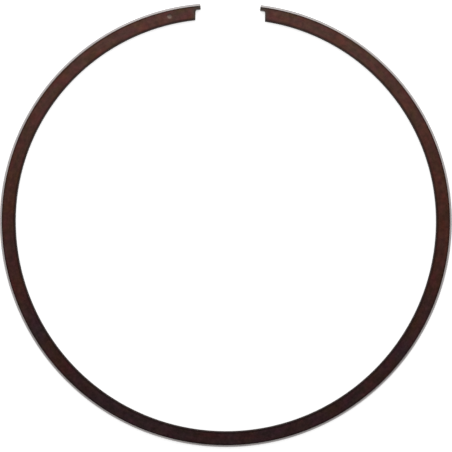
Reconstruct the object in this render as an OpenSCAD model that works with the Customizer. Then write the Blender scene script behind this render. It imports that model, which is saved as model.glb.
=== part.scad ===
// Piston ring for a two-stroke engine: a split spring ring, cut with a notch
// for the locating pin at its gap, lying free on its lower side face.

/* [Ring] */
// Cylinder bore that the ring closes to
bore_d = 66.4; // [45:0.1:100]
// Radial wall, from the inner face to the running face
wall = 2.4; // [1.8:0.1:3.6]
// Axial height between the two side faces
height = 1.0; // [0.8:0.1:2]

/* [Gap] */
// Gap at the running face with the ring lying free
free_gap = 9.3; // [4:0.1:14]
// Gap left at the running face once the ring is closed in its bore
closed_gap = 0.4; // [0.15:0.05:0.8]

/* [Pin notch] */
// Length of the lip at each end, which roofs half of the pin's notch
lip_length = 0.8; // [0.4:0.01:1.6]
// Radial thickness of the lip
lip_wall = 0.86; // [0.5:0.01:1.4]
// Lean of the notch's wall away from the gap, measured from the radial line
notch_flare = 6; // [0:1:15]
// Radius in the root of the notch, between lip and wall
notch_root_r = 0.3; // [0.05:0.05:0.35]
// Radius on the lip's inner corner
lip_corner_r = 0.1; // [0.02:0.02:0.2]

/* [Edges] */
// Radius of the barrel shape across the running face
barrel_r = 6; // [3:0.5:15]
// Chamfer on the two edges of the running face
outer_chamfer = 0.1; // [0.02:0.01:0.2]
// Chamfer on the two edges of the inner face
inner_chamfer = 0.12; // [0.02:0.01:0.3]

/* [Hidden] */
$fn = 240;

// How far cutters stand proud of what they cut
clear = 1;

// Radius and length of the middle of the wall, closed in the bore
closed_r = (bore_d - wall) / 2;
ring_length = 2 * PI * closed_r - closed_gap;

// A ring that presses evenly on its bore opens most at the back and not at
// all at its ends: at an angle t from the back, its free curvature is
// (1 - k * (1 + cos(t))) / closed_r. Each radius below is that curvature's
// mean over the back half, or over the front quarters beside the gap.
function back_radius(k) = closed_r / (1 - k * (1 + 2 / PI));
function front_radius(k) = closed_r / (1 - k * (1 - 2 / PI));
function centre_shift(k) = back_radius(k) - front_radius(k);
function front_sweep(k) =
    (ring_length - PI * back_radius(k)) / front_radius(k) / 2 * 180 / PI;
function gap_of(k) =
    2 * (centre_shift(k) + (front_radius(k) + wall / 2) * cos(front_sweep(k)));

// Halves the span of k until the free gap comes out as asked
function solve_k(low, high, steps) =
    let (k = (low + high) / 2)
    steps == 0 ? k :
    gap_of(k) < free_gap ? solve_k(k, high, steps - 1) : solve_k(low, k, steps - 1);

// Rounds a length to whole thousandths, so that the arcs meet without a step
function whole(length) = round(length * 1000) / 1000;

k_free = solve_k(0, 0.15, 40);
back_r = whole(back_radius(k_free));
front_r = whole(front_radius(k_free));
front_x = back_r - front_r;
sweep = front_sweep(k_free);

// How far the front arc runs on past its end before it is cut to length
spare_sweep = clear / front_r / 2 * 180 / PI;

// Middle of the free outline along the line through the gap
outline_mid_y = ((front_r + wall / 2) * sin(sweep) - (back_r + wall / 2)) / 2;

// How far the barrel shape falls away at the edges of the running face
barrel_drop = barrel_r - sqrt(barrel_r * barrel_r - height * height / 4);

// Section through the wall at a radius of its middle: flat side faces,
// chamfered inner edges and a barrel-shaped running face. The outer chamfers
// run on into a point, which the barrel's circle cuts off.
module section(middle_r) {
    inner = middle_r - wall / 2;
    outer = middle_r + wall / 2;
    side_end = outer - barrel_drop - outer_chamfer;
    intersection() {
        polygon([
            [inner + inner_chamfer, 0],
            [side_end, 0],
            [side_end + height / 2, height / 2],
            [side_end, height],
            [inner + inner_chamfer, height],
            [inner, height - inner_chamfer],
            [inner, inner_chamfer]
        ]);
        translate([outer - barrel_r, height / 2])
            circle(barrel_r);
    }
}

// Right half of the ring: a quarter of the back, then the front arc to just
// past its end at the gap
module half_ring() {
    rotate_extrude(angle = 90, start = -90)
        section(back_r);
    translate([front_x, 0, 0])
        rotate_extrude(angle = sweep + spare_sweep)
            section(front_r);
}

// Outline of what is cut away at an end, half of the notch and all past the
// lip. It is measured from the notch's root: x runs out along the wall and y
// towards the gap.
module end_outline() {
    fillet_y = notch_root_r * (1 - sin(notch_flare)) / cos(notch_flare);
    fillet = [-notch_root_r, fillet_y];
    on_wall = notch_root_r * [sin(notch_flare), -cos(notch_flare)];
    difference() {
        polygon([
            [0, 0],
            [0, lip_length],
            [lip_wall + clear, lip_length],
            [lip_wall + clear, lip_length + clear],
            [-wall, lip_length + clear],
            [-wall, -wall * tan(notch_flare)]
        ]);
        difference() {
            polygon([[0, 0], [0, fillet_y], fillet, fillet + on_wall]);
            translate(fillet)
                circle(notch_root_r);
        }
    }
    translate([0, lip_length])
        lip_corner();
}

// What the rounded inner corner of the lip leaves free
module lip_corner() {
    difference() {
        translate([-clear, -lip_corner_r])
            square([clear + lip_corner_r, lip_corner_r + clear]);
        translate([lip_corner_r, -lip_corner_r])
            circle(lip_corner_r);
    }
}

// Right half with its end cut to length and its half of the pin's notch cut out
module notched_half() {
    difference() {
        half_ring();
        translate([front_x, 0, -clear])
            rotate(sweep)
                translate([front_r + wall / 2 - lip_wall, -lip_length, 0])
                    linear_extrude(height + 2 * clear)
                        end_outline();
    }
}

module piston_ring() {
    color([0.25, 0.16, 0.14])
        translate([0, -outline_mid_y, 0]) {
            notched_half();
            mirror([1, 0, 0])
                notched_half();
        }
}

piston_ring();
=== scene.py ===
"""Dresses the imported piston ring: its finished mesh, its finishes, and the studio that it is seen in."""

import logging
import math
from collections.abc import Sequence
from dataclasses import dataclass, field, replace
from enum import Enum
from functools import cached_property
from typing import ClassVar

import bpy
from mathutils import Color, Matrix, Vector


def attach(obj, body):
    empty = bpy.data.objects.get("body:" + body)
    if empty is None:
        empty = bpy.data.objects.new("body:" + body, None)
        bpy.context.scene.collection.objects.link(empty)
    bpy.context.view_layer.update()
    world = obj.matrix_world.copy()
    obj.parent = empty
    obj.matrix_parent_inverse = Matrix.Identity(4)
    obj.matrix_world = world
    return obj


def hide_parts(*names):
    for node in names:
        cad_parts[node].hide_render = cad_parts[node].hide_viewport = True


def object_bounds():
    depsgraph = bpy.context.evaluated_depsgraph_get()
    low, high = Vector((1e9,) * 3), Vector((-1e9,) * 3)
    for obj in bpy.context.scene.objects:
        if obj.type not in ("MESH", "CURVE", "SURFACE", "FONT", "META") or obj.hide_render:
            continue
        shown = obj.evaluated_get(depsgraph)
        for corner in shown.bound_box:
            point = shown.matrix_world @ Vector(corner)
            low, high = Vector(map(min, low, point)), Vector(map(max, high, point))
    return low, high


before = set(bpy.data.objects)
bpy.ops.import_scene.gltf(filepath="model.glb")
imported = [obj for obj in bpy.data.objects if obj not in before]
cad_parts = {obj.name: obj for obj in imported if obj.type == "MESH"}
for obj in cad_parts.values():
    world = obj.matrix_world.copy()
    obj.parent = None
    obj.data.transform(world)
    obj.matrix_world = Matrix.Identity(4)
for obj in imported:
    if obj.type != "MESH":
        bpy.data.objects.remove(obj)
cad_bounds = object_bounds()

log = logging.getLogger("piston_ring")

MM = 0.001
CLOSE = 1e-6
SCREEN_FULL = 255
WHITE = (1.0, 1.0, 1.0, 1.0)
NODE = "piston_ring"
BODY = "root"
UNROLLED_MAP = "unrolled"
BAKE_MAP = "OFBake"

Colour = tuple[float, float, float, float]
Plan = tuple[float, float]
Span = tuple[float, float]
Corner = tuple[int, Plan]
Socket = bpy.types.NodeSocket
Value = Socket | float | Colour


def linear(red: int, green: int, blue: int) -> Colour:
    """Turns a screen colour, from 0 to 255, into the linear colour that shaders take."""
    screen = Color([part / SCREEN_FULL for part in (red, green, blue)])
    return *screen.from_srgb_to_scene_linear(), 1.0


def filled(keys: Sequence[float], step: float) -> list[float]:
    """Adds evenly spaced places between keys.

    Args:
        keys: Rising places that have to stay.
        step: The widest gap that may be left between two places.

    Returns:
        The keys with the added places, rising.
    """
    places = [keys[0]]
    for low, high in zip(keys, keys[1:]):
        count = max(1, math.ceil((high - low) / step - CLOSE))
        places += [low + (high - low) * n / count for n in range(1, count)]
        places.append(high)
    return places


def linked(name: str, data: bpy.types.ID) -> bpy.types.Object:
    """Makes an object and links it to the scene.

    Args:
        name: The object's name.
        data: Its mesh, lamp or camera.

    Returns:
        The new object.
    """
    made = bpy.data.objects.new(name, data)
    bpy.context.scene.collection.objects.link(made)
    return made


class Finish(Enum):
    """The finishes of the ring's faces, in the order of the mesh's material slots."""

    OXIDE = 0
    PLATE = 1
    PLATE_EDGE = 2
    TURNED = 3
    GROUND = 4


class Mask(Enum):
    """What the mesh marks on its points, from 0 to 1, for the finishes to follow."""

    PIP = "pip"
    # Painted shade: darkens the side faces along the inner edge and beside the plate.
    EDGE = "edge_shade"
    TIP = "tip"


class Arc(Enum):
    """The arcs that the free ring lies on."""

    BACK = 0
    FRONT = 1


class Sum(Enum):
    """The sums that nodes do on two numbers."""

    ADD = "ADD"
    MULTIPLY = "MULTIPLY"
    MAXIMUM = "MAXIMUM"


class Blend(Enum):
    """How one colour is laid on another."""

    COVER = "MIX"
    MULTIPLY = "MULTIPLY"


@dataclass(frozen=True)
class RingSizes:
    """Driving sizes of the ring, in millimetres and degrees.

    Attributes:
        bore_d: Cylinder bore that the ring closes to.
        wall: Radial wall, from the inner face to the running face.
        height: Height between the two side faces.
        free_gap: Gap at the running face with the ring lying free.
        closed_gap: Gap that is left once the ring is shut in its bore.
        lip_length: Length of the lip at each end.
        lip_wall: Radial thickness of the lip.
        notch_flare: Lean of the notch's wall away from the gap.
        notch_root_r: Radius between the notch's wall and the lip.
        lip_corner_r: Radius on the lip's inner corner.
        barrel_r: Radius of the barrel shape across the running face.
        outer_chamfer: Chamfer on the edges of the running face.
        inner_chamfer: Chamfer on the edges of the inner face.
        plate_reach: How far the plate reaches in over the side faces.
        edge_break: How far the sharp edges of the ends are broken.
        pip_r: Radius of the pip beside the left end.
        pip_depth: How deep the pip is pressed.
        pip_from_end: Distance of the pip from the end, along the middle of the wall.
    """

    bore_d: float = 66.4
    wall: float = 2.4
    height: float = 1.0
    free_gap: float = 9.3
    closed_gap: float = 0.4
    lip_length: float = 0.8
    lip_wall: float = 0.86
    notch_flare: float = 6.0
    notch_root_r: float = 0.3
    lip_corner_r: float = 0.1
    barrel_r: float = 6.0
    outer_chamfer: float = 0.1
    inner_chamfer: float = 0.12
    plate_reach: float = 0.32
    edge_break: float = 0.015
    pip_r: float = 0.4
    pip_depth: float = 0.07
    pip_from_end: float = 4.9

    @property
    def closed_r(self) -> float:
        """Radius of the middle of the wall, closed in the bore."""
        return (self.bore_d - self.wall) / 2

    @property
    def plate_line(self) -> float:
        """Place across the wall where the plate begins."""
        return self.wall - self.plate_reach

    @property
    def side_end(self) -> float:
        """Place across the wall where a side face ends at its outer chamfer."""
        return self.barrel(0) - self.outer_chamfer

    @property
    def chamfer_z(self) -> float:
        """Finds where the lower outer chamfer, which rises at 45 degrees, meets the running face.

        Returns:
            The height z that lies on both, where 2 * z**2 + linear_term * z + constant is 0.
        """
        from_centre = self.side_end - self.wall + self.barrel_r
        linear_term = 2 * from_centre - self.height
        constant = from_centre**2 + self.height**2 / 4 - self.barrel_r**2
        return (math.sqrt(linear_term**2 - 8 * constant) - linear_term) / 4

    def barrel(self, z: float) -> float:
        """Place across the wall of the running face at a height."""
        return self.wall - self.barrel_r + math.sqrt(self.barrel_r**2 - (z - self.height / 2) ** 2)


@dataclass(frozen=True)
class FreeShape:
    """The three tangent arcs of the ring lying free, in millimetres and radians.

    Attributes:
        back_r: Radius of the back half, at the middle of the wall.
        front_r: Radius of the two front arcs beside the gap.
        front_x: Distance of a front arc's centre from the line through the gap.
        sweep: Angle that a front arc runs through.
        mid_y: Middle of the outline along the line through the gap, from the back's centre.
        widest_opening: The largest opening that is tried.
        halvings: How often the span of the opening is halved.
    """

    back_r: float
    front_r: float
    front_x: float
    sweep: float
    mid_y: float

    widest_opening: ClassVar[float] = 0.15
    halvings: ClassVar[int] = 40

    @classmethod
    def of(cls, sizes: RingSizes) -> "FreeShape":
        """Finds the arcs at which the free gap comes out as asked.

        At an angle t from the back, a ring that presses evenly on its bore has a free curvature of
        (1 - opening * (1 + cos(t))) / closed_r. Each arc has the mean of that over its own stretch.

        Args:
            sizes: The ring's driving sizes.

        Returns:
            The free shape of a ring that presses evenly on its bore.
        """
        length = math.tau * sizes.closed_r - sizes.closed_gap
        half_wall = sizes.wall / 2
        low, high = 0.0, cls.widest_opening
        for _ in range(cls.halvings):
            opening = (low + high) / 2
            back_r = sizes.closed_r / (1 - opening * (1 + 2 / math.pi))
            front_r = sizes.closed_r / (1 - opening * (1 - 2 / math.pi))
            sweep = (length - math.pi * back_r) / front_r / 2
            tip = back_r - front_r + (front_r + half_wall) * math.cos(sweep)
            low, high = (opening, high) if 2 * tip < sizes.free_gap else (low, opening)
        mid_y = ((front_r + half_wall) * math.sin(sweep) - (back_r + half_wall)) / 2
        return cls(back_r, front_r, back_r - front_r, sweep, mid_y)


@dataclass(frozen=True)
class NotchedEnd:
    """An end of the ring in plan: the notch's leaning wall, its root and the lip.

    Its places are in millimetres, x from the front arc's centre out along the wall and y past the end.

    Attributes:
        sizes: The ring's driving sizes.
        shape: The free shape that it ends.
        fillet_steps: Number of lines along the ring that end on the root's radius.
        corner_angles: Angles round the lip's corner, in degrees, at which such lines end.
        settle_rounds: Number of rounds in which a line's end on the notch settles.
    """

    sizes: RingSizes
    shape: FreeShape
    fillet_steps: int = 6
    corner_angles: tuple[float, ...] = (45.0, 67.5, 90.0)

    settle_rounds: ClassVar[int] = 6

    @cached_property
    def inner_r(self) -> float:
        """Radius of the inner face on the front arc."""
        return self.shape.front_r - self.sizes.wall / 2

    @cached_property
    def flare(self) -> float:
        """Lean of the notch's wall, in radians."""
        return math.radians(self.sizes.notch_flare)

    @cached_property
    def floor_x(self) -> float:
        """Place of the lip's inner side, which is the floor of the notch."""
        return self.inner_r + self.sizes.wall - self.sizes.lip_wall

    @cached_property
    def root(self) -> Plan:
        """Centre of the radius in the notch's root."""
        root_r, rise = self.sizes.notch_root_r, (1 - math.sin(self.flare)) / math.cos(self.flare)
        return self.floor_x - root_r, root_r * rise - self.sizes.lip_length

    @cached_property
    def floor_across(self) -> float:
        """Place across the wall of the line that ends where the root meets the floor."""
        return math.hypot(self.floor_x, self.root[1]) - self.inner_r

    def fillet_lines(self) -> list[float]:
        """Finds the lines across the wall that end on the root's radius.

        Returns:
            The lines' places across the wall, rising.
        """
        places = []
        for step in range(self.fillet_steps):
            angle = (self.flare - math.pi / 2) * (1 - step / self.fillet_steps)
            x = self.root[0] + self.sizes.notch_root_r * math.cos(angle)
            y = self.root[1] + self.sizes.notch_root_r * math.sin(angle)
            places.append(math.hypot(x, y) - self.inner_r)
        return places

    def corner_lines(self) -> list[float]:
        """Places across the wall of the lines that end on the lip's corner, rising."""
        turns = [1 - math.cos(math.radians(angle)) for angle in self.corner_angles]
        return [self.sizes.wall - self.sizes.lip_wall + self.sizes.lip_corner_r * turn for turn in turns]

    def wall_point(self, across: float, inset: float = 0.0) -> Plan:
        """Finds where a line along the ring ends at the notch.

        Args:
            across: The line's place across the wall.
            inset: How far a point on the notch's outline is moved back into the metal.

        Returns:
            The point.
        """
        radius = self.inner_r + across
        root_x, root_y = self.root
        root_r = self.sizes.notch_root_r
        if across >= self.floor_across:
            x = math.sqrt(radius**2 - root_y**2)
            return (x + inset if across == self.floor_across else x), root_y
        x, y, way = radius, root_y, (0.0, 0.0)
        for _ in range(self.settle_rounds):
            if x <= root_x + root_r * math.sin(self.flare):
                y = -self.sizes.lip_length - (self.floor_x - x) * math.tan(self.flare)
                way = (-math.sin(self.flare), math.cos(self.flare))
            else:
                y = root_y - math.sqrt(max(0.0, root_r**2 - (x - root_x) ** 2))
                way = ((root_x - x) / root_r, (root_y - y) / root_r)
            x = math.sqrt(radius**2 - y**2)
        return x - way[0] * inset, y - way[1] * inset

    def lip_point(self, across: float, share: float, inset: float = 0.0) -> Plan:
        """Finds a point on the lip.

        Args:
            across: Its line's place across the wall.
            share: How far along the lip it lies, from the notch's wall at 0 to the end at 1.
            inset: How far a point on the lip's outline is moved back into the metal.

        Returns:
            The point.
        """
        corner_r = self.sizes.lip_corner_r
        corner_x = self.floor_x + corner_r
        on_floor = across == self.floor_across
        x = self.floor_x if on_floor else self.inner_r + across
        end_y, way = 0.0, (0.0, 1.0)
        if x < corner_x:
            end_y = math.sqrt(max(0.0, corner_r**2 - (x - corner_x) ** 2)) - corner_r
            way = ((x - corner_x) / corner_r, (end_y + corner_r) / corner_r)
        y = self.root[1] + (end_y - self.root[1]) * share
        if on_floor:
            return x + inset, y
        x = math.sqrt((self.inner_r + across) ** 2 - y**2)
        return (x - way[0] * inset, y - way[1] * inset) if share == 1 else (x, y)

    def placed(self, place: Plan, mirrored: bool) -> Plan:
        """Turns a point of the end into the ring's own plan.

        Args:
            place: The point in the end's frame.
            mirrored: True at the left end.

        Returns:
            The point in plan.
        """
        x, y = place
        cos, sin = math.cos(self.shape.sweep), math.sin(self.shape.sweep)
        plan_x = self.shape.front_x + x * cos - y * sin
        return (-plan_x if mirrored else plan_x), x * sin + y * cos - self.shape.mid_y


@dataclass(frozen=True)
class Spot:
    """A point of the section: its place across the wall, its height and its place round the section."""

    across: float
    z: float
    around: float

    def to(self, other: "Spot") -> float:
        """Distance to another spot."""
        return math.dist((self.across, self.z), (other.across, other.z))


@dataclass(frozen=True)
class Section:
    """The ring's section: the lines that its side faces are drawn with, and the points round it.

    Attributes:
        sizes: The ring's driving sizes.
        end: The outline that the lines end on.
        line_step: Widest step between two lines, in millimetres.
        row_shares: Heights of the rows of points on an upright face, as shares of the ring's.
    """

    sizes: RingSizes
    end: NotchedEnd
    line_step: float = 0.1
    row_shares: tuple[float, ...] = (0.7, 0.5, 0.3)

    @cached_property
    def lines(self) -> list[float]:
        """Finds the lines that a side face is drawn with.

        Returns:
            The lines' places across the wall, rising.
        """
        s, end = self.sizes, self.end
        at_notch = [*end.fillet_lines(), end.floor_across, *end.corner_lines()]
        return filled([s.inner_chamfer, *at_notch, s.plate_line, s.side_end], self.line_step)

    @cached_property
    def floor_line(self) -> int:
        """Number of the line that ends on the floor of the notch."""
        return self.lines.index(self.end.floor_across)

    @cached_property
    def row_count(self) -> int:
        """Number of points on an upright face."""
        return len(self.rows(0))

    @cached_property
    def inner_start(self) -> int:
        """Number of the first point on the inner face, past both side faces and the running face."""
        return 2 * len(self.lines) + self.row_count

    @cached_property
    def spots(self) -> list[Spot]:
        """The points: out over the upper face, down the running face, back over the lower face and up.

        Returns:
            The points, each with its place round the section.
        """
        s = self.sizes
        places = [(across, s.height) for across in self.lines]
        places += [(s.barrel(z), z) for z in self.rows(s.chamfer_z)]
        places += [(across, 0.0) for across in reversed(self.lines)]
        places += [(0.0, z) for z in reversed(self.rows(s.inner_chamfer))]
        spots = []
        around = s.inner_chamfer
        for place, before in zip(places, [places[0], *places]):
            around += math.dist(place, before)
            spots.append(Spot(*place, around))
        return spots

    @cached_property
    def girth(self) -> float:
        """Length round the section."""
        first, last = self.spots[0], self.spots[-1]
        return last.around + last.to(first) - first.around

    def rows(self, edge: float) -> list[float]:
        """Heights of the points on an upright face that ends so far from the side faces, falling."""
        h = self.sizes.height
        return [h - edge, *(share * h for share in self.row_shares), edge]


@dataclass(frozen=True)
class Station:
    """A place along the ring: an angle on one of its arcs, eased towards the notch's wall by a share."""

    arc: Arc
    angle: float
    ease: float = 0.0
    mirrored: bool = False


@dataclass(frozen=True)
class Loop:
    """A drawn section: the numbers of its points, and its length along the ring from the back."""

    points: list[int]
    length: float


@dataclass(frozen=True)
class Column:
    """An upright edge of an end: the numbers of its points, falling, and its place in the end's frame."""

    points: list[int | None]
    place: Plan


@dataclass
class MeshDraft:
    """A mesh while it is drawn: its points and their masks, its faces and their finishes and maps."""

    points: list[Vector] = field(default_factory=list)
    masks: dict[Mask, list[float]] = field(default_factory=lambda: {mask: [] for mask in Mask})
    faces: list[list[int]] = field(default_factory=list)
    finishes: list[Finish] = field(default_factory=list)
    unrolled: list[list[Plan]] = field(default_factory=list)
    packed: list[list[Plan]] = field(default_factory=list)

    def point(self, place: Plan, z: float, edge: float = 0.0, tip: float = 0.0) -> int:
        """Adds a point.

        Args:
            place: Its place in plan, in millimetres.
            z: Its height, in millimetres.
            edge: How far it is darkened by painted shade along an edge, from 0 to 1.
            tip: How far it is greyed as a tip is, from 0 to 1.

        Returns:
            The point's number.
        """
        self.points.append(Vector((*place, z)) * MM)
        for mask, share in ((Mask.PIP, 0.0), (Mask.EDGE, edge), (Mask.TIP, tip)):
            self.masks[mask].append(share)
        return len(self.points) - 1

    def face(self, corners: list[Corner], finish: Finish, shift: Plan, turned: bool = False) -> None:
        """Adds a face.

        Args:
            corners: Each corner's point and its place on the unrolled map, in millimetres.
            finish: The face's finish.
            shift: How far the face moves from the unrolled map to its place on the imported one.
            turned: True if the corners run the wrong way round.
        """
        if turned:
            corners = corners[::-1]
        self.faces.append([number for number, _ in corners])
        self.finishes.append(finish)
        self.unrolled.append([place for _, place in corners])
        self.packed.append([(u + shift[0], v + shift[1]) for _, (u, v) in corners])

    def mesh(self, name: str, sharp_angle: float) -> bpy.types.Mesh:
        """Makes the mesh.

        Args:
            name: The mesh's name.
            sharp_angle: The angle above which an edge is drawn sharp, in degrees.

        Returns:
            The smooth-shaded mesh, with both maps and every mask.
        """
        mesh = bpy.data.meshes.new(name)
        mesh.from_pydata(self.points, [], self.faces)
        mesh.polygons.foreach_set("material_index", [finish.value for finish in self.finishes])
        extent = max(value for corners in self.packed for place in corners for value in place)
        for title, maps, scale in ((UNROLLED_MAP, self.unrolled, 1.0), (BAKE_MAP, self.packed, 1 / extent)):
            flat = [value * scale for corners in maps for place in corners for value in place]
            mesh.uv_layers.new(name=title).uv.foreach_set("vector", flat)
        mesh.shade_smooth()
        mesh.set_sharp_from_angle(angle=math.radians(sharp_angle))
        mesh.validate()
        for mask, shares in self.masks.items():
            mesh.attributes.new(mask.value, "FLOAT", "POINT").data.foreach_set("value", shares)
        return mesh


class Nodes:
    """A node tree, with short calls to add its nodes and join them."""

    def __init__(self, tree: bpy.types.NodeTree) -> None:
        """Takes the tree that nodes are added to."""
        self.tree = tree

    def add(self, kind: str, **inputs: Value) -> bpy.types.Node:
        """Adds a node.

        Args:
            kind: The node's type, without the words that all shader nodes start with.
            inputs: A value or an output socket for each input, by its name with _ for a space.

        Returns:
            The new node.
        """
        node = self.tree.nodes.new("ShaderNode" + kind)
        for name, value in inputs.items():
            self.set(node.inputs[name.replace("_", " ")], value)
        return node

    def set(self, socket: Socket, value: Value) -> None:
        """Joins an output to a socket, or sets the socket's own value.

        Args:
            socket: The input.
            value: An output that it takes its value from, or the value itself.
        """
        if isinstance(value, Socket):
            self.tree.links.new(value, socket)
        else:
            socket.default_value = value

    def sum(self, operation: Sum, first: Value, second: Value) -> Socket:
        """Adds a sum on two numbers.

        Args:
            operation: The sum that is done.
            first: The first number, or an output that gives it.
            second: The second number, or an output that gives it.

        Returns:
            The sum's result.
        """
        node = self.add("Math")
        node.operation = operation.value
        self.set(node.inputs[0], first)
        self.set(node.inputs[1], second)
        return node.outputs[0]

    def ranged(self, value: Socket, source: Span, target: Span) -> Socket:
        """Maps a range of values onto another and clamps what falls outside.

        Args:
            value: The values.
            source: The two values that are mapped onto the target's.
            target: The two values that they become.

        Returns:
            The mapped values.
        """
        node = self.add("MapRange", Value=value)
        for name, number in zip(("From Min", "From Max", "To Min", "To Max"), (*source, *target)):
            node.inputs[name].default_value = number
        return node.outputs["Result"]

    def joined(self, kind: str, first: bpy.types.Node, second: bpy.types.Node, **inputs: Value) -> Socket:
        """Adds a node that makes one shader of two.

        Args:
            kind: The node's type, as add takes it.
            first: The first shader.
            second: The second shader.
            inputs: The node's other inputs, as add takes them.

        Returns:
            The joined shader.
        """
        node = self.add(kind, **inputs)
        sockets = [socket for socket in node.inputs if socket.type == "SHADER"]
        for socket, shader in zip(sockets, (first, second)):
            self.set(socket, shader.outputs[0])
        return node.outputs[0]

    def seen_rays(self) -> Socket:
        """Tells rays that show a surface from rays that light one.

        Returns:
            1 for rays from the camera, a gloss or a clear surface, and 0 for the rest.
        """
        path = self.add("LightPath")
        glossy = self.sum(Sum.MAXIMUM, path.outputs["Is Camera Ray"], path.outputs["Is Glossy Ray"])
        return self.sum(Sum.MAXIMUM, glossy, path.outputs["Is Transmission Ray"])


@dataclass(frozen=True)
class Pattern:
    """A noise in a finish: its repeats in a unit of each coordinate, its finer layers and its spread."""

    repeats: tuple[float, float, float]
    layers: int
    spread: float = 0.0

    @classmethod
    def even(cls, repeats: float, layers: int, spread: float = 0.0) -> "Pattern":
        """Makes a pattern that is alike every way."""
        return cls((repeats, repeats, repeats), layers, spread)


@dataclass(frozen=True)
class Relief:
    """The small relief of a finish: how strongly it shows and how deep it is, in millimetres."""

    strength: float
    depth: float


class Shader(Nodes):
    """A finish's material: nodes that end in one Principled surface.

    Attributes:
        noise_start: Where in the noise the patterns start, on each axis.
        noise_span: The span that nearly all values of a noise lie in.
        wave_scale: The wave's scale at which a groove repeats once in a unit.
        waver: How unevenly the grooves run.
    """

    noise_start: ClassVar[float] = 6.0
    noise_span: ClassVar[Span] = (0.3, 0.7)
    wave_scale: ClassVar[float] = math.tau / 20
    waver: ClassVar[float] = 0.4

    def __init__(self, name: str) -> None:
        """Starts a material.

        Args:
            name: The material's name.
        """
        self.material = bpy.data.materials.new(name)
        self.material.use_nodes = True
        super().__init__(self.material.node_tree)
        self.surface = self.tree.nodes["Principled BSDF"]

    def unrolled(self) -> Socket:
        """Adds the map of the unrolled ring.

        Returns:
            Its coordinates, in millimetres along the ring and round its section.
        """
        node = self.add("UVMap")
        node.uv_map = UNROLLED_MAP
        return node.outputs["UV"]

    def solid(self) -> Socket:
        """Adds the ring's own coordinates, in metres."""
        return self.add("TexCoord").outputs["Object"]

    def mask(self, mask: Mask, most: float) -> Socket:
        """Adds one of the mesh's masks.

        Args:
            mask: The mask.
            most: What it becomes where it is 1.

        Returns:
            The mask, from 0 to the most.
        """
        node = self.add("Attribute")
        node.attribute_name = mask.value
        return self.sum(Sum.MULTIPLY, node.outputs["Fac"], most)

    def noise(self, place: Socket, pattern: Pattern) -> Socket:
        """Adds a pattern's noise.

        Args:
            place: The coordinates that it is read at.
            pattern: The pattern.

        Returns:
            The noise, from 0 to 1 and about 0.5 in the mean.
        """
        start = (self.noise_start,) * 3
        place = self.add("Mapping", Vector=place, Scale=pattern.repeats, Location=start).outputs[0]
        return self.add("TexNoise", Vector=place, Scale=1.0, Detail=pattern.layers).outputs["Fac"]

    def grooves(self, place: Socket, pitch: float) -> Socket:
        """Adds even grooves along the ring.

        Args:
            place: The unrolled map's coordinates.
            pitch: The distance from groove to groove, in millimetres.

        Returns:
            The grooves' height, from 0 to 1.
        """
        node = self.add("TexWave", Vector=place, Scale=self.wave_scale / pitch, Distortion=self.waver)
        node.bands_direction = "Y"
        return node.outputs["Fac"]

    def about(self, noise: Socket, middle: float, spread: float) -> Socket:
        """Turns noise into values that spread about a middle one."""
        return self.ranged(noise, self.noise_span, (middle - spread, middle + spread))

    def toned(self, colour: Value, *tones: Socket) -> Socket:
        """Lightens and darkens a colour.

        Args:
            colour: The colour.
            tones: What it is multiplied by, one after the other.

        Returns:
            The toned colour.
        """
        tone = tones[0]
        for other in tones[1:]:
            tone = self.sum(Sum.MULTIPLY, tone, other)
        grey = self.add("CombineColor", Red=tone, Green=tone, Blue=tone).outputs[0]
        return self.mixed(1.0, colour, grey, Blend.MULTIPLY)

    def mixed(self, share: Value, first: Value, second: Value, blend: Blend = Blend.COVER) -> Socket:
        """Mixes two colours.

        Args:
            share: How much of the second colour shows.
            first: The first colour.
            second: The second colour.
            blend: How the second colour is laid on the first.

        Returns:
            The mixed colour.
        """
        node = self.add("Mix")
        node.data_type = "RGBA"
        node.blend_type = blend.value
        colours = [socket for socket in node.inputs if socket.type == "RGBA"]
        self.set(node.inputs["Factor"], share)
        self.set(colours[0], first)
        self.set(colours[1], second)
        return next(socket for socket in node.outputs if socket.type == "RGBA")

    def finished(
        self, colour: Socket, roughness: Socket, height: Socket, relief: Relief, **constants: float
    ) -> bpy.types.Material:
        """Joins what varies to the surface and sets what doesn't.

        Args:
            colour: The surface's colour.
            roughness: Its roughness.
            height: The height of its small relief, from 0 to about 1.
            relief: How that relief shows.
            constants: Values that are the same all over, by input name with _ for a space.

        Returns:
            The finished material.
        """
        bump = self.add("Bump", Strength=relief.strength, Distance=relief.depth * MM, Height=height)
        self.set(self.surface.inputs["Base Color"], colour)
        self.set(self.surface.inputs["Roughness"], roughness)
        self.set(self.surface.inputs["Normal"], bump.outputs["Normal"])
        for name, value in constants.items():
            self.surface.inputs[name.replace("_", " ")].default_value = value
        return self.material


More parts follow.
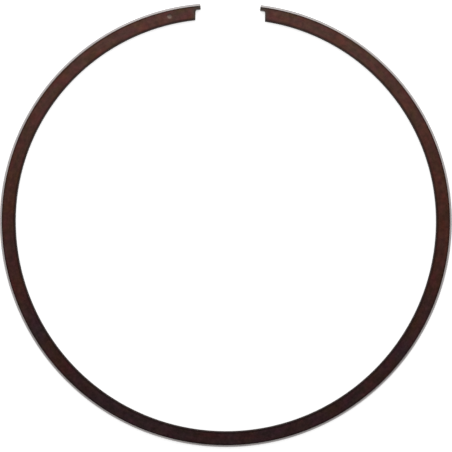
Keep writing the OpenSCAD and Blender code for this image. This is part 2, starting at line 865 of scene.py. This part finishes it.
@dataclass(frozen=True)
class OxideFinish:
    """Dark brown oxide on lapped iron: a drifting tint of painted light and shade, mottling and fine grain.

    Attributes:
        name: The material's name.
        gap_tint: The tint beside the gap, paler, as painted sheen from the lamp over the gap.
        side_tint: The tint at the sides, redder, as painted light.
        back_tint: The tint at the back, more purple, as painted shade.
        drift_half: How far from the middle the gap's and the back's tint are full, in millimetres.
        drift_waver: How unevenly the tint drifts.
        side_place: Where the sides' tint is full, from 0 at the back to 1 at the gap.
        warm_patch: What the tint is multiplied by in a warm patch.
        cool_patch: What it is multiplied by in a cool patch.
        wine_stain: What it is multiplied by in a reddish stain.
        olive_stain: What it is multiplied by in a greenish stain.
        patch_start: The noise at which neither of two patches or stains shows.
        patch_full: How far the noise goes from there until one shows in full.
        patch_share: How much of a patch or stain then shows.
        tip_tint: The greyer tint of the tips.
        tip_share: How much of it shows there.
        bare: Bare metal in the bottom of the pip.
        pip_share: How much of it shows there.
        edge_shade: What the tint is multiplied by along the edges, as painted shade.
        clouds: The noise that the drift wavers by.
        patches: The noise of the warm and cool patches.
        stains: The noise of the wine and olive stains.
        mottle: Soft mottling.
        fleck: Small flecks, which change the gloss too.
        grain: Fine grain.
        streaks: Streaks along the ring.
        lines: Lapping lines along the ring.
        metallic: How much of the surface is metal.
        roughness: The roughness in the mean.
        rough_spread: How far the roughness varies.
        relief: The relief of grain and lines.
        line_relief: The lines' share of it.
    """

    name: str = "brown_oxide"
    # Painted light and shade in hue: the three tints are about equally bright, paler beside the gap under
    # the lamp, redder at the sides, more purple at the back.
    gap_tint: Colour = linear(82, 54, 47)
    side_tint: Colour = linear(88, 51, 42)
    back_tint: Colour = linear(77, 54, 57)
    drift_half: float = 30.0
    drift_waver: float = 0.25
    side_place: float = 0.5
    warm_patch: Colour = (1.08, 1.0, 0.74, 1.0)
    cool_patch: Colour = (0.94, 0.94, 1.16, 1.0)
    wine_stain: Colour = (1.26, 0.83, 1.06, 1.0)
    olive_stain: Colour = (0.8, 1.11, 0.78, 1.0)
    patch_start: float = 0.5
    patch_full: float = 0.18
    patch_share: float = 0.65
    tip_tint: Colour = linear(70, 65, 60)
    tip_share: float = 0.75
    bare: Colour = linear(132, 116, 108)
    pip_share: float = 0.55
    edge_shade: float = 0.5
    clouds: Pattern = Pattern.even(150, 2)
    patches: Pattern = Pattern((0.36, 0.66, 1), 3)
    stains: Pattern = Pattern((0.43, 0.78, 1), 3)
    mottle: Pattern = Pattern.even(1500, 3, 0.24)
    fleck: Pattern = Pattern.even(6500, 2, 0.1)
    grain: Pattern = Pattern.even(22000, 2, 0.14)
    streaks: Pattern = Pattern((0.3, 4, 1), 3, 0.08)
    lines: Pattern = Pattern((0.9, 46, 1), 2, 0.05)
    metallic: float = 0.85
    roughness: float = 0.4
    rough_spread: float = 0.06
    relief: Relief = Relief(0.15, 0.01)
    line_relief: float = 0.5

    def material(self) -> bpy.types.Material:
        """Builds the finish.

        Returns:
            Its material.
        """
        shader = Shader(self.name)
        solid, along = shader.solid(), shader.unrolled()
        all_round = (self.mottle, self.fleck, self.grain)
        noises = {pattern: shader.noise(solid, pattern) for pattern in all_round}
        noises |= {pattern: shader.noise(along, pattern) for pattern in (self.streaks, self.lines)}
        tones = [shader.about(noise, 1, pattern.spread) for pattern, noise in noises.items()]
        # Painted shade: the colour darkens along the inner edge and beside the plate.
        edge = shader.ranged(shader.mask(Mask.EDGE, 1), (0, 1), (1, self.edge_shade))
        colour = shader.toned(self.tint(shader, solid, along), *tones, edge)
        colour = shader.mixed(shader.mask(Mask.PIP, self.pip_share), colour, self.bare)
        rough = shader.about(noises[self.fleck], self.roughness, self.rough_spread)
        lines = shader.sum(Sum.MULTIPLY, noises[self.lines], self.line_relief)
        height = shader.sum(Sum.ADD, noises[self.grain], lines)
        return shader.finished(colour, rough, height, self.relief, Metallic=self.metallic)

    def tint(self, shader: Shader, solid: Socket, along: Socket) -> Socket:
        """Adds the oxide's tint, whose drift along the ring paints light and shade in hue.

        Args:
            shader: The finish's nodes.
            solid: The ring's own coordinates.
            along: The unrolled map's coordinates.

        Returns:
            The tint, drifting along the ring as painted light and shade, with patches, stains and greyed
            tips.
        """
        # Painted light and shade in hue: the tint drifts from the gap's paler sheen through the sides'
        # redder light to the back's purplish shade.
        half = self.drift_half * MM
        to_gap = shader.add("SeparateXYZ", Vector=solid).outputs["Y"]
        waver = shader.about(shader.noise(solid, self.clouds), 0, self.drift_waver)
        drift = shader.sum(Sum.ADD, shader.ranged(to_gap, (-half, half), (0, 1)), waver)
        to_side = shader.ranged(drift, (0, self.side_place), (0, 1))
        past_side = shader.ranged(drift, (self.side_place, 1), (0, 1))
        colour = shader.mixed(to_side, self.back_tint, self.side_tint)
        colour = shader.mixed(past_side, colour, self.gap_tint)
        pairs = (
            (self.patches, self.warm_patch, self.cool_patch),
            (self.stains, self.wine_stain, self.olive_stain),
        )
        for pattern, first, second in pairs:
            noise = shader.noise(along, pattern)
            for patch, way in ((first, -1), (second, 1)):
                span = (self.patch_start, self.patch_start + way * self.patch_full)
                share = shader.ranged(noise, span, (0, self.patch_share))
                colour = shader.mixed(share, colour, patch, Blend.MULTIPLY)
        return shader.mixed(shader.mask(Mask.TIP, self.tip_share), colour, self.tip_tint)


@dataclass(frozen=True)
class PlateFinish:
    """Hard chrome plate, worked along the ring, with a glossier witness band where it has run in.

    Attributes:
        name: The material's name.
        bright: The plate's brighter colour.
        dull: Its duller colour.
        roughness: The roughness in the mean.
        witness: Where the witness band lies round the section, in millimetres, if there is one.
        witness_fade: Width of the band's soft edges.
        witness_gloss: What the roughness is multiplied by in the band.
        clouds: The noise between the two colours.
        lines: Fine lines along the ring.
        rough_spread: How far the roughness varies.
        relief: The lines' relief.
    """

    name: str
    bright: Colour
    dull: Colour
    roughness: float
    witness: Span | None = None
    witness_fade: float = 0.08
    witness_gloss: float = 0.45
    clouds: Pattern = Pattern((0.12, 1.2, 1), 3)
    lines: Pattern = Pattern((0.5, 34, 1), 3, 0.11)
    rough_spread: float = 0.04
    relief: Relief = Relief(0.1, 0.008)

    def material(self) -> bpy.types.Material:
        """Builds the finish.

        Returns:
            Its material.
        """
        shader = Shader(self.name)
        along = shader.unrolled()
        clouds = shader.noise(along, self.clouds)
        lines = shader.noise(along, self.lines)
        colour = shader.mixed(shader.ranged(clouds, shader.noise_span, (0, 1)), self.bright, self.dull)
        colour = shader.toned(colour, shader.about(lines, 1, self.lines.spread))
        rough = shader.about(lines, self.roughness, self.rough_spread)
        if self.witness:
            gloss = shader.ranged(self.run_in(shader, along, clouds), (0, 1), (1, self.witness_gloss))
            rough = shader.sum(Sum.MULTIPLY, rough, gloss)
        return shader.finished(colour, rough, lines, self.relief, Metallic=1.0)

    def run_in(self, shader: Shader, along: Socket, clouds: Socket) -> Socket:
        """Adds the witness band.

        Args:
            shader: The finish's nodes.
            along: The unrolled map's coordinates.
            clouds: The noise that the band's edges follow.

        Returns:
            1 in the band and 0 outside it.
        """
        fade = self.witness_fade
        low, high = self.witness
        place = shader.add("SeparateXYZ", Vector=along).outputs["Y"]
        place = shader.sum(Sum.ADD, place, shader.about(clouds, 0, fade))
        entered = shader.ranged(place, (low - fade, low), (0, 1))
        still_in = shader.ranged(place, (high, high + fade), (1, 0))
        return shader.sum(Sum.MULTIPLY, entered, still_in)


@dataclass(frozen=True)
class TurnedFinish:
    """The inner face, turned along the ring and left dull under the oxide.

    Attributes:
        name: The material's name.
        dark: The oxide's darker colour.
        light: Its lighter colour.
        wander: The noise between the two colours.
        grain: Fine grain.
        groove_pitch: Distance from groove to groove, in millimetres.
        groove_spread: How far the grooves lighten and darken the colour.
        specular: How strongly the oxide mirrors.
        roughness: The roughness in the mean.
        rough_spread: How far the roughness varies.
        relief: The relief of grooves and grain.
        grain_relief: The grain's share of it.
    """

    name: str = "turned_oxide"
    dark: Colour = linear(44, 31, 28)
    light: Colour = linear(56, 40, 35)
    wander: Pattern = Pattern((0.4, 3, 1), 2)
    grain: Pattern = Pattern.even(14000, 2, 0.14)
    groove_pitch: float = 0.055
    groove_spread: float = 0.08
    specular: float = 0.25
    roughness: float = 0.66
    rough_spread: float = 0.06
    relief: Relief = Relief(0.3, 0.01)
    grain_relief: float = 0.6

    def material(self) -> bpy.types.Material:
        """Builds the finish.

        Returns:
            Its material.
        """
        shader = Shader(self.name)
        along = shader.unrolled()
        wander = shader.noise(along, self.wander)
        grain = shader.noise(shader.solid(), self.grain)
        grooves = shader.grooves(along, self.groove_pitch)
        ridges = shader.ranged(grooves, (0, 1), (1 - self.groove_spread, 1 + self.groove_spread))
        colour = shader.mixed(shader.ranged(wander, shader.noise_span, (0, 1)), self.dark, self.light)
        colour = shader.toned(colour, shader.about(grain, 1, self.grain.spread), ridges)
        rough = shader.about(grain, self.roughness, self.rough_spread)
        height = shader.sum(Sum.ADD, grooves, shader.sum(Sum.MULTIPLY, grain, self.grain_relief))
        return shader.finished(colour, rough, height, self.relief, Specular_IOR_Level=self.specular)


@dataclass(frozen=True)
class GroundFinish:
    """The notch and the lip's end: bare dark iron with the wheel's upright lines.

    Attributes:
        name: The material's name.
        dark: The iron's darker colour.
        light: Its lighter colour.
        stain: The noise between the two colours.
        scratches: The wheel's lines.
        grain: Fine grain.
        metallic: How much of the surface is metal.
        roughness: The roughness in the mean.
        rough_spread: How far the roughness varies.
        relief: The relief of lines and grain.
        grain_relief: The grain's share of it.
    """

    name: str = "ground_iron"
    dark: Colour = linear(66, 61, 58)
    light: Colour = linear(90, 84, 80)
    stain: Pattern = Pattern.even(1800, 3)
    scratches: Pattern = Pattern((42, 0.8, 1), 2, 0.1)
    grain: Pattern = Pattern.even(20000, 2)
    metallic: float = 0.7
    roughness: float = 0.46
    rough_spread: float = 0.06
    relief: Relief = Relief(0.2, 0.01)
    grain_relief: float = 0.5

    def material(self) -> bpy.types.Material:
        """Builds the finish.

        Returns:
            Its material.
        """
        shader = Shader(self.name)
        solid = shader.solid()
        stain = shader.noise(solid, self.stain)
        scratches = shader.noise(shader.unrolled(), self.scratches)
        grain = shader.noise(solid, self.grain)
        colour = shader.mixed(shader.ranged(stain, shader.noise_span, (0, 1)), self.dark, self.light)
        colour = shader.toned(colour, shader.about(scratches, 1, self.scratches.spread))
        rough = shader.about(stain, self.roughness, self.rough_spread)
        height = shader.sum(Sum.ADD, scratches, shader.sum(Sum.MULTIPLY, grain, self.grain_relief))
        return shader.finished(colour, rough, height, self.relief, Metallic=self.metallic)


@dataclass
class PistonRing:
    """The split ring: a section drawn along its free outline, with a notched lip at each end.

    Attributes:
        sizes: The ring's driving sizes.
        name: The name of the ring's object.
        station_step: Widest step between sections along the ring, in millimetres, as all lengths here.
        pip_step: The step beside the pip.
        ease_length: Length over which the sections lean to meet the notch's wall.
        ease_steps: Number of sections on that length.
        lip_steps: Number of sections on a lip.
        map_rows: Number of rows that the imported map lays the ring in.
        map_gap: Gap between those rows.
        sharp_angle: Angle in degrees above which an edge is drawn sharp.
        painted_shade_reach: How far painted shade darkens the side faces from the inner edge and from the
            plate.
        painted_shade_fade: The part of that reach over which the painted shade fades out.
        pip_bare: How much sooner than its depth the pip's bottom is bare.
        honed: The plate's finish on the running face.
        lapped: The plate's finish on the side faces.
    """

    sizes: RingSizes = RingSizes()
    name: str = "split_ring"
    station_step: float = 0.56
    pip_step: float = 0.06
    ease_length: float = 0.9
    ease_steps: int = 4
    lip_steps: int = 5
    map_rows: int = 6
    map_gap: float = 0.2
    sharp_angle: float = 35.0
    painted_shade_reach: float = 0.28
    painted_shade_fade: float = 0.18
    pip_bare: float = 2.0
    honed: PlateFinish = PlateFinish(
        "honed_plate", bright=linear(172, 168, 168), dull=linear(156, 152, 153), roughness=0.28
    )
    lapped: PlateFinish = PlateFinish(
        "lapped_plate_edge", bright=linear(210, 203, 201), dull=linear(196, 190, 189), roughness=0.53
    )

    @cached_property
    def shape(self) -> FreeShape:
        """The ring's arcs, lying free."""
        return FreeShape.of(self.sizes)

    @cached_property
    def end(self) -> NotchedEnd:
        """The outline of the ring's ends."""
        return NotchedEnd(self.sizes, self.shape)

    @cached_property
    def section(self) -> Section:
        """The ring's section."""
        return Section(self.sizes, self.end)

    @cached_property
    def front_length(self) -> float:
        """Length of a front arc along the middle of the wall."""
        return self.shape.front_r * self.shape.sweep

    @cached_property
    def half_length(self) -> float:
        """Length along the middle of the wall from the back to the notch's wall."""
        return self.shape.back_r * math.pi / 2 + self.front_length - self.sizes.lip_length

    def stations(self) -> list[Station]:
        """Finds the places along the ring that its section is drawn at.

        Returns:
            The places, from the notch's wall at the left end to that at the right end.
        """
        s, shape = self.sizes, self.shape
        pip = self.front_length - s.pip_from_end
        back = filled([0, shape.back_r * math.pi / 2], self.station_step)
        eased = self.front_length - s.lip_length - self.ease_length
        front = filled([0, pip - s.pip_r], self.station_step)
        front += filled([pip - s.pip_r, pip + s.pip_r], self.pip_step)[1:]
        front += filled([pip + s.pip_r, eased], self.station_step)[1:]
        half = [Station(Arc.BACK, length / shape.back_r) for length in back]
        half += [Station(Arc.FRONT, length / shape.front_r) for length in front[1:]]
        last = half[-1]
        half += [replace(last, ease=step / self.ease_steps) for step in range(1, self.ease_steps + 1)]
        return [replace(station, mirrored=True) for station in reversed(half[1:])] + half

    def plan(self, station: Station, spot: Spot) -> Plan:
        """Places a spot of the section at a station.

        Args:
            station: The place along the ring.
            spot: The point of the section.

        Returns:
            The point's place in plan.
        """
        s, shape = self.sizes, self.shape
        if station.ease == 1:
            return self.end.placed(self.end.wall_point(spot.across, self.inset(spot)), station.mirrored)
        if station.arc is Arc.BACK:
            radius = shape.back_r - s.wall / 2 + spot.across
            x, y = radius * math.sin(station.angle), -radius * math.cos(station.angle)
        else:
            wall_x, wall_y = self.end.wall_point(spot.across)
            wall_angle = shape.sweep + math.atan2(wall_y, wall_x)
            angle = station.angle + (wall_angle - station.angle) * station.ease
            radius = self.end.inner_r + spot.across
            x, y = shape.front_x + radius * math.cos(angle), radius * math.sin(angle)
        return (-x if station.mirrored else x), y - shape.mid_y

    def inset(self, spot: Spot) -> float:
        """How far the outline of an end is moved in at a spot, to break the edges of the side faces."""
        return self.sizes.edge_break if spot.z in (0, self.sizes.height) else 0.0

    def length_at(self, station: Station) -> float:
        """Measures the length along the middle of the wall from the back to a station.

        Args:
            station: The place along the ring.

        Returns:
            The length, negative on the left.
        """
        length = self.shape.back_r * station.angle
        if station.arc is Arc.FRONT:
            length = self.shape.back_r * math.pi / 2 + self.shape.front_r * station.angle
            length += (self.half_length - length) * station.ease
        return -length if station.mirrored else length

    def map_shift(self, length: float) -> Plan:
        """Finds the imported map's row for a place along the ring.

        Args:
            length: The place, from the back and negative on the left.

        Returns:
            The way from the unrolled map to that row.
        """
        row_length = 2 * self.half_length / self.map_rows
        row = min(self.map_rows - 1, int((length + self.half_length) / row_length))
        start = self.sizes.lip_length + self.half_length
        return start - row * row_length, row * (self.section.girth + self.map_gap)

    def painted_shade_at(self, spot: Spot) -> float:
        """Finds how far a spot is darkened with painted shade, along the inner edge and beside the plate.

        Args:
            spot: The point of the section.

        Returns:
            The painted shade, from 0 to 1.
        """
        away = min(spot.across - self.sizes.inner_chamfer, self.sizes.plate_line - spot.across)
        return min(1.0, max(0.0, (self.painted_shade_reach - away) / self.painted_shade_fade))

    def finish_of(self, first: Spot, second: Spot) -> Finish:
        """Finds the finish between two spots of the section.

        Args:
            first: One spot.
            second: Its neighbour.

        Returns:
            The finish of the face between them.
        """
        inner = min(first.across, second.across)
        if inner > self.sizes.plate_line - CLOSE:
            return Finish.PLATE_EDGE if first.z == second.z else Finish.PLATE
        return Finish.TURNED if inner < self.sizes.inner_chamfer - CLOSE else Finish.OXIDE

    def finishes(self) -> tuple[OxideFinish | PlateFinish | TurnedFinish | GroundFinish, ...]:
        """Gathers the ring's finishes.

        Returns:
            The finishes, in the order that Finish names them.
        """
        first = len(self.section.lines)
        running = self.section.spots[first : first + self.section.row_count]
        honed = replace(self.honed, witness=(running[1].around, running[-2].around))
        return OxideFinish(), honed, self.lapped, TurnedFinish(), GroundFinish()

    def build(self) -> bpy.types.Object:
        """Builds the ring's mesh, dresses it and sets it on its body.

        Returns:
            The ring's object.
        """
        draft = MeshDraft()
        loops = [self.draw_loop(draft, station) for station in self.stations()]
        for first, second in zip(loops, loops[1:]):
            self.draw_span(draft, first, second, self.section.spots, closed=True)
        self.draw_end(draft, loops[0], mirrored=True)
        self.draw_end(draft, loops[-1], mirrored=False)
        self.press_pip(draft)
        mesh = draft.mesh(self.name, self.sharp_angle)
        for finish in self.finishes():
            mesh.materials.append(finish.material())
        ring = linked(self.name, mesh)
        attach(ring, BODY)
        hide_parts(NODE)
        return ring

    def draw_loop(self, draft: MeshDraft, station: Station) -> Loop:
        """Draws the points of the section at a station.

        Args:
            draft: The mesh that they are drawn in.
            station: The place along the ring.

        Returns:
            The drawn section.
        """
        points = []
        for spot in self.section.spots:
            points.append(draft.point(self.plan(station, spot), spot.z, self.painted_shade_at(spot), station.ease))
        return Loop(points, self.length_at(station))

    def draw_span(
        self,
        draft: MeshDraft,
        first: Loop,
        second: Loop,
        spots: list[Spot],
        closed: bool,
        turned: bool = False,
    ) -> None:
        """Draws the faces between two neighbouring sections.

        Args:
            draft: The mesh that they are drawn in.
            first: One section.
            second: The next section.
            spots: The spots of both, in the order of their points.
            closed: True if the sections are closed loops.
            turned: True if the second section comes before the first along the ring.
        """
        shift = self.map_shift(min(first.length, second.length))
        for p in range(len(spots) if closed else len(spots) - 1):
            q = (p + 1) % len(spots)
            low = spots[p].around
            high = low + spots[p].to(spots[q])
            corners = [
                (first.points[p], (first.length, low)),
                (first.points[q], (first.length, high)),
                (second.points[q], (second.length, high)),
                (second.points[p], (second.length, low)),
            ]
            draft.face(corners, self.finish_of(spots[p], spots[q]), shift, turned)

    def draw_end(self, draft: MeshDraft, wall: Loop, mirrored: bool) -> None:
        """Draws the lip and the notch at one end.

        Args:
            draft: The mesh that they are drawn in.
            wall: The section at the notch's wall.
            mirrored: True at the left end.
        """
        floor = self.section.floor_line
        outer = slice(floor, self.section.inner_start - floor)
        spots = self.section.spots[outer]
        lip = [Loop(wall.points[outer], wall.length)]
        reach = -self.sizes.lip_length if mirrored else self.sizes.lip_length
        for step in range(1, self.lip_steps + 1):
            share = step / self.lip_steps
            points = []
            for spot in spots:
                place = self.end.placed(self.end.lip_point(spot.across, share, self.inset(spot)), mirrored)
                points.append(draft.point(place, spot.z, self.painted_shade_at(spot), 1.0))
            lip.append(Loop(points, wall.length + reach * share))
        for first, second in zip(lip, lip[1:]):
            self.draw_span(draft, first, second, spots, closed=False, turned=mirrored)
        self.draw_outline(draft, self.outline(draft, wall, lip, mirrored), mirrored)

    def outline(self, draft: MeshDraft, wall: Loop, lip: list[Loop], mirrored: bool) -> list[Column]:
        """Draws the upright edges along the outline of one end.

        Args:
            draft: The mesh that they are drawn in.
            wall: The section at the notch's wall.
            lip: The lip's sections, from the notch's wall to the end.
            mirrored: True at the left end.

        Returns:
            The edges, from the inner face to the running face. The first and the last have no points on the
            side faces.
        """
        end, lines, floor = self.end, self.section.lines, self.section.floor_line
        rows = self.section.rows(self.sizes.edge_break)
        inner = self.section.inner_start
        last = lip[-1].points
        edges = []
        for n in range(floor + 1):
            edges.append((end.wall_point(lines[n]), wall.points[n], wall.points[inner - 1 - n]))
        for step, loop in enumerate(lip[1:], 1):
            place = end.lip_point(end.floor_across, step / self.lip_steps)
            edges.append((place, loop.points[0], loop.points[-1]))
        for n in range(1, len(lines) - floor):
            edges.append((end.lip_point(lines[floor + n], 1), last[n], last[-1 - n]))
        columns = [Column([None, *reversed(wall.points[inner:]), None], end.wall_point(0.0))]
        for place, upper, lower in edges:
            between = [draft.point(end.placed(place, mirrored), z) for z in rows]
            columns.append(Column([upper, *between, lower], place))
        running = last[len(lines) - floor :][: len(rows)]
        columns.append(Column([None, *running, None], end.lip_point(self.sizes.wall, 1)))
        return columns

    def draw_outline(self, draft: MeshDraft, columns: list[Column], mirrored: bool) -> None:
        """Draws the upright faces of the notch and of the lip's end.

        Args:
            draft: The mesh that they are drawn in.
            columns: The upright edges along the outline.
            mirrored: True at the left end.
        """
        s = self.sizes
        length = sum(math.dist(first.place, second.place) for first, second in zip(columns, columns[1:]))
        start = s.wall + (length + s.wall if mirrored else 0)
        shift = (start, self.map_rows * (self.section.girth + self.map_gap))
        run = 0.0
        for first, second in zip(columns, columns[1:]):
            reach = run + math.dist(first.place, second.place)
            plated = first.place[0] > self.end.inner_r + s.plate_line - CLOSE
            finish = Finish.PLATE_EDGE if plated else Finish.GROUND
            for low in range(1, len(first.points)):
                quad = [
                    (first.points[low], run),
                    (first.points[low - 1], run),
                    (second.points[low - 1], reach),
                    (second.points[low], reach),
                ]
                drawn = [(point, u) for point, u in quad if point is not None]
                corners = [(point, (u, draft.points[point].z / MM)) for point, u in drawn]
                draft.face(corners, finish, shift, mirrored)
            run = reach

    def press_pip(self, draft: MeshDraft) -> None:
        """Presses the pip into the upper face beside the left end.

        Args:
            draft: The drawn ring.
        """
        s, shape = self.sizes, self.shape
        angle = shape.sweep - s.pip_from_end / shape.front_r
        pip_x = -shape.front_x - shape.front_r * math.cos(angle)
        pip_y = shape.front_r * math.sin(angle) - shape.mid_y
        for number, point in enumerate(draft.points):
            away = math.dist((point.x / MM, point.y / MM), (pip_x, pip_y)) / s.pip_r
            if away < 1 and point.z / MM > s.height - CLOSE:
                depth = 1 - away**2
                point.z -= depth * s.pip_depth * MM
                draft.masks[Mask.PIP][number] = min(1.0, self.pip_bare * depth)


@dataclass(frozen=True)
class Softbox:
    """An area lamp with a face of even brightness, in metres.

    Attributes:
        name: The lamp's name.
        size: Width and height of its face.
        place: Where it hangs.
        aim: The point that it is turned to.
        brightness: Brightness of its face, where 1 is white.
    """

    name: str
    size: Plan
    place: tuple[float, float, float]
    aim: tuple[float, float, float]
    brightness: float

    def build(self) -> bpy.types.Object:
        """Makes the lamp, hangs it and turns it to its aim.

        Returns:
            The lamp's object.
        """
        data = bpy.data.lights.new(self.name, "AREA")
        data.shape = "RECTANGLE"
        data.size, data.size_y = self.size
        data.energy = self.brightness * math.pi * self.size[0] * self.size[1]
        lamp = linked(self.name, data)
        lamp.location = self.place
        lamp.rotation_euler = (Vector(self.aim) - Vector(self.place)).to_track_quat("-Z", "Y").to_euler()
        lamp.visible_camera = False
        return lamp


@dataclass(frozen=True)
class Studio:
    """A white floor, a softbox over the gap, pale walls and a camera that looks straight down.

    Attributes:
        image_size: Width and height of the image, in pixels.
        pixels_per_mm: Scale of the image at the ring.
        ring_pixel: Pixel that the middle of the ring falls on.
        turn: How far the camera is turned about its view, in degrees.
        lens: Focal length of the camera, in millimetres.
        sensor: Width of its sensor, in millimetres.
        clip: Distance from the lens at which it starts to see, in metres.
        floor_half: Half the floor's width, in metres.
        floor_grey: Grey of the floor where it is lit.
        floor_lift: Light that the floor adds where it is seen, which softens the shadow.
        wall_light: Brightness of the walls and the ceiling, as they light the ring.
        wall_seen: Brightness of the walls, as they are seen and mirrored.
        ceiling_seen: Brightness of the ceiling, as it is mirrored.
        wall_top: Height of a look, from 0 to 1 straight up, at which the walls begin to darken.
        ceiling_edge: Height of a look at which the ceiling is reached.
        softboxes: The lamps.
    """

    image_size: int = 452
    pixels_per_mm: float = 6.488
    ring_pixel: Plan = (225.78, 225.74)
    turn: float = 1.22
    lens: float = 150.0
    sensor: float = 36.0
    clip: float = 0.001
    floor_half: float = 3.0
    floor_grey: float = 0.82
    floor_lift: float = 0.62
    wall_light: float = 0.45
    wall_seen: float = 1.0
    ceiling_seen: float = 0.03
    wall_top: float = 0.3
    ceiling_edge: float = 0.95
    softboxes: tuple[Softbox, ...] = (
        Softbox(
            "rear_softbox",
            size=(0.3, 0.2),
            place=(-0.004, 0.118, 0.2),
            aim=(0.0, 0.0, 0.0),
            brightness=1.4,
        ),
    )

    def build(self) -> None:
        """Builds the floor, the walls' light, the lamps and the camera."""
        self.build_floor()
        self.build_walls()
        for softbox in self.softboxes:
            log.info("lamp %s", softbox.build().name)
        self.build_camera()
        bpy.context.scene.view_settings.view_transform = "Standard"

    def build_floor(self) -> None:
        """Lays a white floor that keeps the ring's shadow."""
        half = self.floor_half
        corners = [(-half, -half, 0), (half, -half, 0), (half, half, 0), (-half, half, 0)]
        mesh = bpy.data.meshes.new("floor")
        mesh.from_pydata(corners, [], [(0, 1, 2, 3)])
        material = bpy.data.materials.new("white_floor")
        material.use_nodes = True
        nodes = Nodes(material.node_tree)
        nodes.tree.nodes.clear()
        matt = nodes.add("BsdfDiffuse", Color=(self.floor_grey, self.floor_grey, self.floor_grey, 1.0))
        glow = nodes.add("Emission", Strength=nodes.sum(Sum.MULTIPLY, nodes.seen_rays(), self.floor_lift))
        nodes.add("OutputMaterial", Surface=nodes.joined("AddShader", matt, glow))
        mesh.materials.append(material)
        linked("floor", mesh)

    def build_walls(self) -> None:
        """Surrounds the floor with pale walls under a dim ceiling."""
        world = bpy.data.worlds.new("pale_walls")
        world.use_nodes = True
        nodes = Nodes(world.node_tree)
        nodes.tree.nodes.clear()
        look = nodes.add("TexCoord").outputs["Generated"]
        height = nodes.add("SeparateXYZ", Vector=look).outputs["Z"]
        span = (self.wall_top, self.ceiling_edge)
        seen = nodes.ranged(height, span, (self.wall_seen, self.ceiling_seen))
        lit = nodes.add("Background", Color=WHITE, Strength=self.wall_light)
        shown = nodes.add("Background", Color=WHITE, Strength=seen)
        nodes.add("OutputWorld", Surface=nodes.joined("MixShader", lit, shown, Fac=nodes.seen_rays()))
        bpy.context.scene.world = world

    def build_camera(self) -> None:
        """Hangs the camera over the ring, so that the ring falls where the photo has it."""
        low, high = cad_bounds
        data = bpy.data.cameras.new("camera")
        data.lens = self.lens
        data.sensor_width = self.sensor
        data.clip_start = self.clip
        pixel = MM / self.pixels_per_mm
        turn = math.radians(self.turn)
        right = (self.image_size / 2 - self.ring_pixel[0]) * pixel
        up = (self.ring_pixel[1] - self.image_size / 2) * pixel
        camera = linked("camera", data)
        camera.location = (
            right * math.cos(turn) - up * math.sin(turn),
            right * math.sin(turn) + up * math.cos(turn),
            (low.z + high.z) / 2 + self.image_size * pixel * self.lens / self.sensor,
        )
        camera.rotation_euler = (0.0, 0.0, turn)
        bpy.context.scene.camera = camera


def main() -> None:
    """Builds the studio and the ring, and reports each piece."""
    logging.basicConfig(level=logging.INFO, format="%(name)s: %(message)s")
    Studio().build()
    ring = PistonRing().build()
    log.info("piece %s with %d faces", ring.name, len(ring.data.polygons))


if __name__ == "__main__":
    main()
